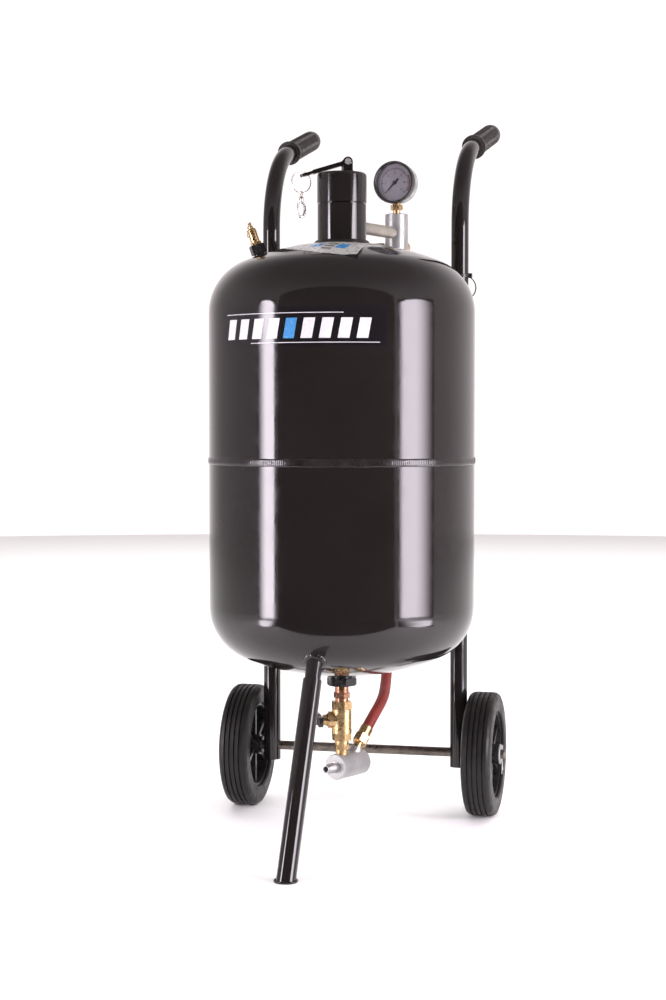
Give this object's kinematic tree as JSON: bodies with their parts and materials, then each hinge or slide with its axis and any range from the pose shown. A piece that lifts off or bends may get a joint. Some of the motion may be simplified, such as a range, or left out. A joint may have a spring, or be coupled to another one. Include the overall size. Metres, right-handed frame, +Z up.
{
  "type": "pressure abrasive blasting pot",
  "caption": "Black upright pressure pot for abrasive blasting on a wheeled frame with rear handles, front leg, screw filler cap, gauge and bottom mixing valve.",
  "frame": {"origin": "on the floor, under the middle of the whole object's box", "axes": "+Z up, -Y towards the front leg, +Y towards the handles, +X to the right seen from the front leg"},
  "size_m": [0.376, 0.6572, 0.9274],
  "materials": {
    "black_paint": "gloss black enamel",
    "weld_paint": "gloss black enamel over a rippled weld",
    "black_fitting": "satin black",
    "zinc": "bright zinc plate, fine turned finish",
    "galvanised": "dull warm zinc with a faint spangle",
    "brass": "machined brass",
    "nickel": "nickel plate",
    "spring_steel": "plain spring wire",
    "black_plastic": "moulded black",
    "gauge_case_grey": "grey lacquer",
    "dial_face": "pale printed face",
    "lens": "clear",
    "grip_rubber": "matt dimpled rubber",
    "seal_rubber": "soft rubber",
    "red_hose": "smooth red rubber",
    "tyre_rubber": "solid rubber with round grooves"
  },
  "bodies": {
    "frame": {"upper_shell": "black_paint", "lower_shell": "black_paint", "weld_bead": "weld_paint", "filler_neck": "black_paint", "manifold_body": "zinc", "air_pipe": "galvanised", "gauge_socket": "brass", "gauge_case": "gauge_case_grey", "gauge_bezel": "black_plastic", "gauge_dial": "dial_face", "gauge_lens": "lens", "bourdon_tube": "brass", "inlet_valve_body": "brass", "inlet_plug": "brass", "hose_elbow": "brass", "hose_couplings": "brass", "air_hose": "red_hose", "safety_base": "black_fitting", "safety_body": "brass", "safety_spring": "spring_steel", "left_handle_tube": "black_paint", "right_handle_tube": "black_paint", "left_grip": "grip_rubber", "right_grip": "grip_rubber", "tank_brackets": "black_paint", "axle": "zinc", "axle_washers": "zinc", "cotter_pins": "zinc", "cable_tie": "black_plastic", "leg_stub": "black_paint", "front_leg": "black_paint", "foot_disc": "black_paint", "outlet_bushing": "black_fitting", "outlet_nipple": "brass", "blast_valve_body": "brass", "blast_valve_end": "brass", "block_nipple": "brass", "mixing_block": "zinc", "outlet_barb": "zinc"},
    "cap_carrier": {"cap_seal": "seal_rubber"},
    "cap": {"filler_cap": "black_paint", "cap_lug": "black_paint", "handle_pin": "zinc"},
    "lever": {"lid_handle": "black_paint"},
    "ring": {"split_ring": "nickel"},
    "clasp_eye": {"clasp_swivel": "nickel"},
    "clasp": {"clasp_body": "nickel"},
    "gate": {"clasp_gate": "nickel"},
    "pointer": {"gauge_pointer": "black_plastic"},
    "inlet_ball": {"inlet_valve_ball": "nickel", "inlet_valve_lever": "black_plastic"},
    "blast_ball": {"blast_valve_ball": "nickel", "blast_valve_handle": "black_plastic", "blast_valve_nut": "zinc"},
    "safety_plunger": {"safety_stem": "brass"},
    "pull_ring": {"safety_ring": "nickel"},
    "left_wheel": {"left_tyre": "tyre_rubber", "left_rim": "black_plastic"},
    "right_wheel": {"right_tyre": "tyre_rubber", "right_rim": "black_plastic"}
  },
  "joints": [
    {"name": "cap_lift", "type": "slide", "parent": "frame", "child": "cap_carrier", "axis": [0, 0, 1], "range_m": [0, 0.0238]},
    {"name": "cap_turn", "type": "hinge", "parent": "cap_carrier", "child": "cap", "pos_m": [0, -0.0409, 0.819], "axis": [0, 0, 1], "range_deg": [0, 2520]},
    {"name": "lever_flip", "type": "hinge", "parent": "cap", "child": "lever", "pos_m": [0.00611, -0.03868, 0.8324], "axis": [-0.342, 0.9397, 0], "range_deg": [0, 215]},
    {"name": "ring_swing", "type": "hinge", "parent": "lever", "child": "ring", "pos_m": [-0.04676, -0.06095, 0.82017], "axis": [-0.7431, -0.6691, 0], "range_deg": [-18, 18]},
    {"name": "clasp_swing", "type": "hinge", "parent": "ring", "child": "clasp_eye", "pos_m": [-0.04676, -0.06095, 0.79397], "axis": [-0.7431, -0.6691, 0], "range_deg": [-45, 45]},
    {"name": "clasp_swivel_turn", "type": "hinge", "parent": "clasp_eye", "child": "clasp", "pos_m": [-0.04676, -0.06095, 0.78597], "axis": [0, 0, 1], "continuous": true},
    {"name": "gate_open", "type": "hinge", "parent": "clasp", "child": "gate", "pos_m": [-0.05044, -0.06426, 0.76997], "axis": [-0.6691, 0.7431, 0], "range_deg": [0, 24], "stiffness_Nm_per_rad": 0.0004},
    {"name": "pointer_turn", "type": "hinge", "parent": "frame", "child": "pointer", "pos_m": [0.04184, 0.08079, 0.821], "axis": [0.1564, 0.9877, 0], "range_deg": [0, 270], "stiffness_Nm_per_rad": 0.0005},
    {"name": "inlet_valve_turn", "type": "hinge", "parent": "frame", "child": "inlet_ball", "pos_m": [0.00146, 0.09923, 0.722], "axis": [0, 0, 1], "range_deg": [0, 90]},
    {"name": "blast_valve_turn", "type": "hinge", "parent": "frame", "child": "blast_ball", "pos_m": [0, -0.0409, 0.139], "axis": [-0.9397, -0.342, 0], "range_deg": [0, 90]},
    {"name": "safety_pull", "type": "slide", "parent": "frame", "child": "safety_plunger", "axis": [-0.3003, -0.0929, 0.9493], "range_m": [0, 0.003], "stiffness_N_per_m": 600},
    {"name": "pull_ring_swing", "type": "hinge", "parent": "safety_plunger", "child": "pull_ring", "pos_m": [-0.10907, -0.07463, 0.75529], "axis": [-0.028, 0.9957, 0.0886], "range_deg": [0, 110]},
    {"name": "left_wheel_spin", "type": "hinge", "parent": "frame", "child": "left_wheel", "pos_m": [-0.1595, 0.0901, 0.08], "axis": [1, 0, 0], "continuous": true},
    {"name": "right_wheel_spin", "type": "hinge", "parent": "frame", "child": "right_wheel", "pos_m": [0.1595, 0.0901, 0.08], "axis": [1, 0, 0], "continuous": true}
  ],
  "couplings": [
    {"joint": "cap_lift", "follows": "cap_turn", "m_per_rad": 0.00054113}
  ]
}
